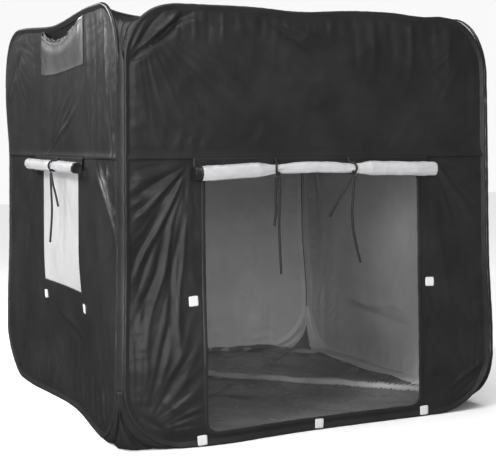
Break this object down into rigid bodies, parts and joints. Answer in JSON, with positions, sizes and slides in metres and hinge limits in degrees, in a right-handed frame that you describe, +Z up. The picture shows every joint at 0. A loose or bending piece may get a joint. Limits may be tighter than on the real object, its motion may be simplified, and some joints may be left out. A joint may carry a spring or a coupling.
{
  "type": "printer enclosure tent",
  "caption": "Pop-up cube enclosure tent for a desktop printer: hooped cloth walls, rolled-up front door flap and side window flap with ties, frosted side window.",
  "frame": {"origin": "on the ground under the middle of the four walls' footprint", "axes": "+Z up, -Y out through the door wall, -X out through the window wall"},
  "size_m": [0.8914, 0.98, 0.88],
  "materials": {
    "outer_cloth": "black coated ripstop-weight cloth, satin, creased",
    "edge_sleeve": "black folded cloth binding, satin",
    "spring_steel": "bare spring wire",
    "crimp": "matte",
    "seam_welt": "black stitched cord",
    "floor_cloth": "black coated cloth, creased",
    "flap_cloth": "silver-white coated lining side out, satin",
    "tie_tape": "black woven tape, matte",
    "hook_patch": "white hook-and-loop",
    "window_film": "frosted white translucent film"
  },
  "bodies": {
    "front_wall": {"front_sleeve": "edge_sleeve", "front_hoop": "spring_steel", "front_hoop_ferrule": "crimp", "front_upper_cloth": "outer_cloth", "front_lower_cloth": "outer_cloth", "doorway_binding": "edge_sleeve", "door_patches": "hook_patch", "sill_patches": "hook_patch", "corner_welt_front_left": "seam_welt", "corner_welt_front_right": "seam_welt", "roof_cloth": "outer_cloth", "floor_cloth": "floor_cloth", "top_gusset_front_left": "outer_cloth", "top_gusset_front_right": "outer_cloth", "bottom_gusset_front_left": "outer_cloth", "bottom_gusset_front_right": "outer_cloth"},
    "right_wall": {"right_sleeve": "edge_sleeve", "right_hoop": "spring_steel", "right_hoop_ferrule": "crimp", "right_upper_cloth": "outer_cloth", "right_lower_cloth": "outer_cloth", "corner_welt_back_right": "seam_welt", "top_gusset_back_right": "outer_cloth", "bottom_gusset_back_right": "outer_cloth"},
    "back_wall": {"back_sleeve": "edge_sleeve", "back_hoop": "spring_steel", "back_hoop_ferrule": "crimp", "back_upper_cloth": "outer_cloth", "back_lower_cloth": "outer_cloth", "corner_welt_back_left": "seam_welt", "top_gusset_back_left": "outer_cloth", "bottom_gusset_back_left": "outer_cloth"},
    "left_wall": {"left_sleeve": "edge_sleeve", "left_hoop": "spring_steel", "left_hoop_ferrule": "crimp", "left_upper_cloth": "outer_cloth", "left_lower_cloth": "outer_cloth", "window_film": "window_film", "window_patches": "hook_patch", "side_pocket": "outer_cloth"},
    "door_flap": {"door_flap_roll": "flap_cloth", "door_tie_left": "tie_tape", "door_tie_right": "tie_tape", "door_tail_left_long": "tie_tape", "door_tail_left_short": "tie_tape", "door_tail_right_long": "tie_tape", "door_tail_right_short": "tie_tape"},
    "window_flap": {"window_flap_roll": "flap_cloth", "window_tie": "tie_tape", "window_tail_long": "tie_tape", "window_tail_short": "tie_tape"}
  },
  "joints": [
    {"name": "fold_flat", "type": "hinge", "parent": "front_wall", "child": "right_wall", "pos_m": [0.422, -0.4645, 0], "axis": [0, 0, 1], "range_deg": [0, 85], "stiffness_Nm_per_rad": 1, "deforming": ["roof_cloth", "floor_cloth", "top_gusset_front_left", "top_gusset_front_right", "top_gusset_back_right", "top_gusset_back_left", "bottom_gusset_front_left", "bottom_gusset_front_right", "bottom_gusset_back_right", "bottom_gusset_back_left"]},
    {"name": "fold_left", "type": "hinge", "parent": "front_wall", "child": "left_wall", "pos_m": [-0.422, -0.4645, 0], "axis": [0, 0, 1], "range_deg": [0, 85]},
    {"name": "fold_back", "type": "hinge", "parent": "right_wall", "child": "back_wall", "pos_m": [0.422, 0.4645, 0], "axis": [0, 0, 1], "range_deg": [-85, 0]},
    {"name": "door_flap_lift", "type": "hinge", "parent": "front_wall", "child": "door_flap", "pos_m": [0, -0.4724, 0.578], "axis": [-1, 0, 0], "range_deg": [0, 60]},
    {"name": "window_flap_lift", "type": "hinge", "parent": "left_wall", "child": "window_flap", "pos_m": [-0.4299, -0.007, 0.578], "axis": [0, 1, 0], "range_deg": [0, 60]}
  ],
  "couplings": [
    {"joint": "fold_left", "follows": "fold_flat", "ratio": 1},
    {"joint": "fold_back", "follows": "fold_flat", "ratio": -1}
  ]
}
